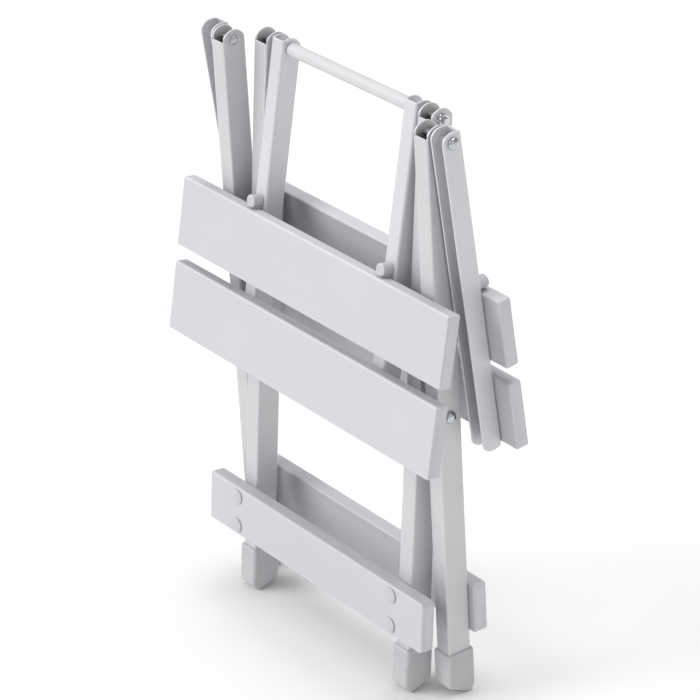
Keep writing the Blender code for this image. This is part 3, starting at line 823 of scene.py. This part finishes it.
def rail_rings(low, high, facing, settings):
    """A channel wall carried along a U: down one flange, across the web and up the other.

    With a = y / R across the rail, its ends stand out by h sqrt(1 - a^2) on the open side and
    by h - f a^2 towards the web. The free edges of the flanges are half-round, by thinning the
    wall as r cos t while the path goes on by r sin t.
    """
    wall, rim = settings.wall, settings.rim
    half_x = (high[0] - low[0]) / 2 - wall / 2
    reach = (high[1] - low[1]) / 2
    web = reach - wall / 2
    bend = RAIL_BEND
    tip_turn = np.linspace(0.0, math.radians(80), 4)[::-1]
    tip = [(-half_x, -reach + wall / 2 - wall / 2 * math.sin(t), math.cos(t)) for t in tip_turn]
    run = np.sin(np.linspace(-math.pi / 2, math.pi / 2, 30))[1:] / 2 + 0.5
    flange = [(-half_x, -reach + wall / 2 + s * (web - bend + reach - wall / 2), 1.0) for s in run]
    turn = np.linspace(0.0, math.pi / 2, 7)[1:]
    corner = [(-half_x + bend * (1 - math.cos(t)), web - bend + bend * math.sin(t), 1.0) for t in turn]
    half_path = tip + flange + corner + [(-half_x + bend + 0.6 * MM, web, 1.0)]
    path = np.array(half_path + [(-x, y, thin) for x, y, thin in reversed(half_path)])
    step = np.gradient(path[:, :2], axis=0)
    step /= np.linalg.norm(step, axis=1)[:, None]
    outward = np.column_stack([-step[:, 1], step[:, 0]])
    thin = path[:, 2]
    across = path[:, 1] / reach
    open_end = settings.rail_end * np.sqrt(np.maximum(1.0 - across**2, 0.0))
    rise = np.where(across < 0, open_end, settings.rail_end - settings.rail_fall * across**2)
    top = high[2] - settings.rail_end + rise
    bottom = low[2] + settings.rail_end - rise
    # (share of the wall, height from an end, which end) round the wall's own section
    loop = [(0.5, 3 * rim, 0), (0.5, rim, 0), (0.42, 0.3 * rim, 0), (0.25, 0.0, 0)]
    loop += [(-0.25, 0.0, 0), (-0.42, 0.3 * rim, 0), (-0.5, rim, 0), (-0.5, 3 * rim, 0)]
    loop += [(-share, height, 1) for share, height, _ in loop]
    shares, heights, ends = np.array(loop).T
    offset = shares[None, :] * thin[:, None] * wall
    section = path[:, None, :2] + offset[..., None] * outward[:, None, :]
    level = np.where(ends[None, :] == 0, top[:, None] - heights, bottom[:, None] + heights)
    rings = np.stack([section[..., 0] + (low[0] + high[0]) / 2, facing * section[..., 1], level], -1)
    end_mask = np.array([0.0, 0.7, 1.0, 0.5, 0.5, 1.0, 0.7, 0.0] * 2)
    free_edge_mask = np.where(thin < 0.99, 1.0, 0.0)
    return rings, np.maximum(end_mask[None, :], free_edge_mask[:, None])


class STOOL_OT_rivets(bpy.types.Operator):
    """Build the button rivets of the crossbars"""

    bl_idname = "stool.rivets"
    bl_label = "Crossbar rivets"

    def execute(self, context):
        tall = RIVET_HEIGHT
        for node, facing, low, high in boxed(nodes_named("_rivet_")):
            base = reach_along(low, high, facing) - tall
            radius = (high[0] - low[0]) / 2
            profile = [(2.3 * MM, -RIVET_SHANK), (2.3 * MM, 0.0), (radius - 0.1 * MM, 0.0)]
            profile += arc_profile(radius - 0.4 * MM, 0.4 * MM, 0.4 * MM, -60, 60, 5)
            profile += [(0.8 * radius, 0.78 * tall), (0.55 * radius, 0.92 * tall)]
            profile += [(0.25 * radius, tall)]
            mask = [0.0, 0.0, 0.5] + [1.0] * 6 + [0.0] * 3
            place = middle_at(low, high, facing * base)
            finish_turned(node, "button", profile, mask, "Y", facing, place)
        return {"FINISHED"}


class STOOL_OT_pegs(bpy.types.Operator):
    """Build the round bumper pegs above the upper slats"""

    bl_idname = "stool.pegs"
    bl_label = "Bumper pegs"

    def execute(self, context):
        for node, facing, low, high in boxed(nodes_named("_peg_")):
            slat_box = FRAMES[BODY_OF[node]].box(node.split("_")[0] + "_slat_upper")
            base = -reach_along(*slat_box, -facing)
            height = reach_along(low, high, facing) - base
            radius = (high[0] - low[0]) / 2
            soft = 0.8 * MM
            profile = [(2.0 * MM, -3.0 * MM), (2.0 * MM, 0.0), (radius, 0.0), (radius, 0.8 * MM)]
            profile += [(radius, height - soft - 0.8 * MM)]
            profile += arc_profile(radius - soft, height - soft, soft, 0, 90, 5)
            profile += [(radius - soft - 0.8 * MM, height)]
            mask = [0.0, 0.0, 0.4, 0.0, 0.0] + [1.0] * 6 + [0.0]
            place = middle_at(low, high, facing * base)
            finish_turned(node, "bumper", profile, mask, "Y", facing, place)
        return {"FINISHED"}


class STOOL_OT_handle(bpy.types.Operator):
    """Build the handle rod between the near rails"""

    bl_idname = "stool.handle"
    bl_label = "Handle rod"

    def execute(self, context):
        low, high = FRAMES["near_seat"].box("handle_rod")
        radius = (high[1] - low[1]) / 2
        half = (high[0] - low[0]) / 2
        soft = 0.5 * MM
        one_end = [(radius, half - soft - 1.0 * MM)]
        one_end += arc_profile(radius - soft, half - soft, soft, 0, 90, 4)
        profile = [(r, -x) for r, x in reversed(one_end)] + one_end
        mask = [1.0] * 5 + [0.0, 0.0] + [1.0] * 5
        finish_turned("handle_rod", "grip", profile, mask, "X", 1, (0.0, 0.0, 0.0))
        return {"FINISHED"}


class STOOL_OT_bolts(bpy.types.Operator):
    """Build the button-head pivot bolts"""

    bl_idname = "stool.bolts"
    bl_label = "Pivot bolts"

    def execute(self, context):
        head, shank, brim = BOLT_HEAD, SHANK_RADIUS, 0.8 * MM
        for node, _, low, high in boxed(nodes_named("far_pivot_bolt_") + nodes_named("scissor_bolt_")):
            sign, outer, inner = side_pin(low, high)
            radius = (high[2] - low[2]) / 2
            tip = inner - outer + head
            profile = [(shank - 0.4 * MM, tip), (shank, tip + 0.4 * MM)]
            profile += [(shank, 0.0), (radius - 0.1 * MM, 0.0), (radius, 0.15 * MM), (radius, brim)]
            dome = np.linspace(0.0, math.pi / 2, 9)[1:-1]
            profile += [(radius * math.cos(t), brim + (head - brim) * math.sin(t)) for t in dome]
            mask = [1.0, 1.0, 1.0, 0.4, 0.4, 0.2] + [0.0] * 7
            place = (sign * (outer - head), (low[1] + high[1]) / 2, (low[2] + high[2]) / 2)
            finish_turned(node, "button_head", profile, mask, "X", sign, place)
        return {"FINISHED"}


class STOOL_OT_studs(bpy.types.Operator):
    """Build the near pivot studs, whose ends stand out of hexagon nuts"""

    bl_idname = "stool.studs"
    bl_label = "Pivot studs"

    def execute(self, context):
        nut, out, shank = NUT_HEIGHT, STUD_OUT, SHANK_RADIUS
        for node, _, low, high in boxed(nodes_named("near_pivot_bolt_")):
            sign, outer, inner = side_pin(low, high)
            radius = (high[2] - low[2]) / 2
            # (radius, height over the leg's face, share of a hexagon)
            profile = [(shank, inner - outer + out, 0), (shank, 0.0, 0), (0.93 * radius, 0.0, 0)]
            profile += [(radius, 0.35 * MM, 1), (radius, nut - 0.45 * MM, 1), (0.93 * radius, nut, 0.3)]
            profile += [(0.8 * radius, nut, 0), (1.12 * shank, nut, 0), (shank, nut - 0.2 * MM, 0)]
            profile += [(shank, out - 0.5 * MM, 0), (shank - 0.5 * MM, out, 0), (0.3 * shank, out, 0)]
            radii, heights, flats = np.array(profile, float).T
            mask = [1.0, 1.0, 0.5, 0.6, 0.6, 1.0, 0.2, 0.3, 0.4, 1.0, 0.8, 0.2]
            place = (sign * (outer - out), (low[1] + high[1]) / 2, (low[2] + high[2]) / 2)
            turned = np.column_stack([radii, heights])
            finish_turned(node, "stud", turned, mask, "X", sign, place, flats)
        return {"FINISHED"}


class STOOL_OT_nuts(bpy.types.Operator):
    """Build the scissor pivots' hexagon nuts, and the pivots' round spacers and clinched ends"""

    bl_idname = "stool.nuts"
    bl_label = "Nuts and spacers"

    def execute(self, context):
        for node, _, low, high in boxed(nodes_named("_nut_") + nodes_named("_spacer_")):
            rings, mask = ring_wall(low, high, "scissor_nut" in node)
            finish_piece(node, "ring", rings, mask, closed=True)
        return {"FINISHED"}


def ring_wall(low, high, hexagonal):
    """A nut or spacer: its section, a rectangle with softened corners, carried round its bolt.

    A hexagon's outer radius is R cos 30 / cos a, where a is the angle from the middle of the
    nearest flat, and a round ring's is R. Neither goes past a set share of R.
    """
    half = (high[0] - low[0]) / 2
    radius = (high[1] - low[1]) / 2
    soft = 0.35 * MM
    angle = np.arange(RING_POINTS) * 2 * math.pi / RING_POINTS
    outline = np.full(RING_POINTS, radius)
    if hexagonal:
        flat_angle = (angle + math.pi / 6) % (math.pi / 3) - math.pi / 6
        outline = math.cos(math.pi / 6) / np.cos(flat_angle) * radius
    outline = np.minimum(outline, radius * RING_SHARE)
    corner = arc_profile(0.0, 0.0, 1.0, 0, 90, 3)
    outer = [(1, half - soft + soft * h, -soft + soft * r) for r, h in corner]
    inner = [(0, half - soft + soft * h, soft - soft * r) for r, h in reversed(corner)]
    side_profile = outer + inner
    loop = side_profile + [(kind, -x, r) for kind, x, r in reversed(side_profile)]
    kinds, along, shift = np.array(loop).T
    around = np.where(kinds[None, :] == 1, outline[:, None], BORE_RADIUS) + shift[None, :]
    y = around * np.cos(angle)[:, None] + (low[1] + high[1]) / 2
    z = around * np.sin(angle)[:, None] + (low[2] + high[2]) / 2
    x = np.broadcast_to(along[None, :] + (low[0] + high[0]) / 2, y.shape)
    mask = np.broadcast_to(np.abs(along) > half - 0.99 * soft, y.shape)
    return np.stack([x, y, z], -1), mask.astype(float) * 0.8


class STOOL_OT_screws(bpy.types.Operator):
    """Build the pan-head screws inside the rails"""

    bl_idname = "stool.screws"
    bl_label = "Slat screws"

    def execute(self, context):
        head = SCREW_HEAD
        for node, facing, low, high in boxed(nodes_named("_screw_")):
            back = reach_along(low, high, -facing)
            radius = (high[0] - low[0]) / 2
            length = high[1] - low[1] - head
            profile = [(0.6 * MM, -length), (1.8 * MM, -length + 1.5 * MM), (1.8 * MM, 0.0)]
            profile += [(radius, 0.0), (radius, 0.6 * MM), (0.93 * radius, 1.2 * MM)]
            profile += [(0.75 * radius, 1.7 * MM), (0.45 * radius, head)]
            profile += [(0.36 * radius, head - 0.2 * MM), (0.3 * radius, head - 1.2 * MM)]
            mask = [0.0, 0.0, 0.0, 0.5, 0.5, 0.0, 0.0, 1.0, 1.0, 0.0]
            place = middle_at(low, high, -facing * (back - head))
            finish_turned(node, "pan_head", profile, mask, "Y", -facing, place, sides=SCREW_SIDES)
        return {"FINISHED"}


class STOOL_OT_stage(bpy.types.Operator):
    """Build the floor, the studio lights and the camera"""

    bl_idname = "stool.stage"
    bl_label = "Stage"

    def execute(self, context):
        settings = context.scene.stool_stage
        build_floor(settings)
        build_lights()
        build_world(context.scene)
        build_camera(context.scene, settings)
        return {"FINISHED"}


def build_floor(settings):
    """A wide round floor, flat and out to the horizon."""
    angle = np.arange(FLOOR_SIDES) * 2 * math.pi / FLOOR_SIDES
    level = np.full(FLOOR_SIDES, -FLOOR_DROP)
    rim = np.column_stack([FLOOR_RADIUS * np.cos(angle), FLOOR_RADIUS * np.sin(angle), level])
    mesh = bpy.data.meshes.new("studio_floor")
    mesh.from_pydata(rim.tolist(), [], [list(range(FLOOR_SIDES))])
    made = bpy.data.materials.new("studio_paper")
    made.use_nodes = True
    shader = made.node_tree.nodes["Principled BSDF"]
    colour_and_alpha = (*settings.floor_colour, 1.0)
    feed(made.node_tree, shader, Base_Color=colour_and_alpha, Roughness=0.9, Specular_IOR_Level=0.2)
    mesh.materials.append(made)
    floor = bpy.data.objects.new("studio_floor", mesh)
    bpy.context.scene.collection.objects.link(floor)


def build_lights():
    """Soft parallel lights: a key from the front left, a weak one from the right, and one overhead."""
    for name, source, spread, strength in LAMPS:
        lamp = bpy.data.lights.new(name, "SUN")
        lamp.angle = math.radians(spread)
        lamp.energy = strength
        holder = bpy.data.objects.new(name, lamp)
        holder.location = source
        holder.rotation_euler = (-Vector(source)).to_track_quat("-Z", "Y").to_euler()
        bpy.context.scene.collection.objects.link(holder)


def build_world(scene):
    """White air that the camera sees at full strength, and that lights the rest more weakly."""
    world = bpy.data.worlds.new("studio_air")
    world.use_nodes = True
    tree = world.node_tree
    sky = tree.nodes["Background"]
    seen = add_node(tree, "ShaderNodeLightPath").outputs["Is Camera Ray"]
    strength = maths(tree, "ADD", maths(tree, "MULTIPLY", seen, 1.0 - AIR_LIGHT), AIR_LIGHT)
    feed(tree, sky, Color=(1.0, 1.0, 1.0, 1.0), Strength=strength)
    scene.world = world
    scene.view_settings.view_transform = "Standard"


def build_camera(scene, settings):
    """A long lens that looks at a point by the scissor pivot, with a slight roll."""
    camera = bpy.data.cameras.new("studio_camera")
    camera.lens = settings.lens
    camera.sensor_width = SENSOR_WIDTH
    camera.clip_end = CLIP_END
    holder = bpy.data.objects.new("studio_camera", camera)
    azimuth, elevation = settings.azimuth, settings.elevation
    level = math.cos(elevation)
    away = Vector((math.sin(azimuth) * level, -math.cos(azimuth) * level, math.sin(elevation)))
    target = Vector(settings.target) + Vector(JOINTS["inner_leg_swing"]["pos_m"])
    upright = Euler((math.pi / 2 - elevation, 0.0, azimuth)).to_matrix()
    look = upright @ Matrix.Rotation(settings.roll, 3, "Z")
    holder.matrix_world = Matrix.Translation(target + settings.distance * away) @ look.to_4x4()
    scene.collection.objects.link(holder)
    scene.camera = holder


class STOOL_PT_panel(bpy.types.Panel):
    """The stool's settings and operators"""

    bl_idname = "STOOL_PT_panel"
    bl_label = "Folding Step Stool"
    bl_space_type = "VIEW_3D"
    bl_region_type = "UI"
    bl_category = "Stool"

    def draw(self, context):
        for label, group in SETTINGS.items():
            box = self.layout.box()
            box.label(text=group.__doc__.split(".")[0])
            for field in group.__annotations__:
                box.prop(getattr(context.scene, label), field)
        for operator in OPERATORS:
            self.layout.operator(operator.bl_idname)


SETTINGS = {
    "stool_metal": StoolMetalSettings,
    "stool_slats": StoolSlatSettings,
    "stool_fittings": StoolFittingSettings,
    "stool_stage": StoolStageSettings,
}
OPERATORS = (
    STOOL_OT_legs,
    STOOL_OT_feet,
    STOOL_OT_crossbars,
    STOOL_OT_rivets,
    STOOL_OT_rails,
    STOOL_OT_slats,
    STOOL_OT_screws,
    STOOL_OT_pegs,
    STOOL_OT_handle,
    STOOL_OT_bolts,
    STOOL_OT_studs,
    STOOL_OT_nuts,
    STOOL_OT_stage,
)
CLASSES = (*SETTINGS.values(), *OPERATORS, STOOL_PT_panel)


def register():
    for thing in CLASSES:
        bpy.utils.register_class(thing)
    for label, group in SETTINGS.items():
        setattr(bpy.types.Scene, label, PointerProperty(type=group))


def unregister():
    for label in SETTINGS:
        delattr(bpy.types.Scene, label)
    for thing in reversed(CLASSES):
        bpy.utils.unregister_class(thing)


def main():
    register()
    for operator in OPERATORS:
        family, action = operator.bl_idname.split(".")
        getattr(getattr(bpy.ops, family), action)()


if __name__ == "__main__":
    main()
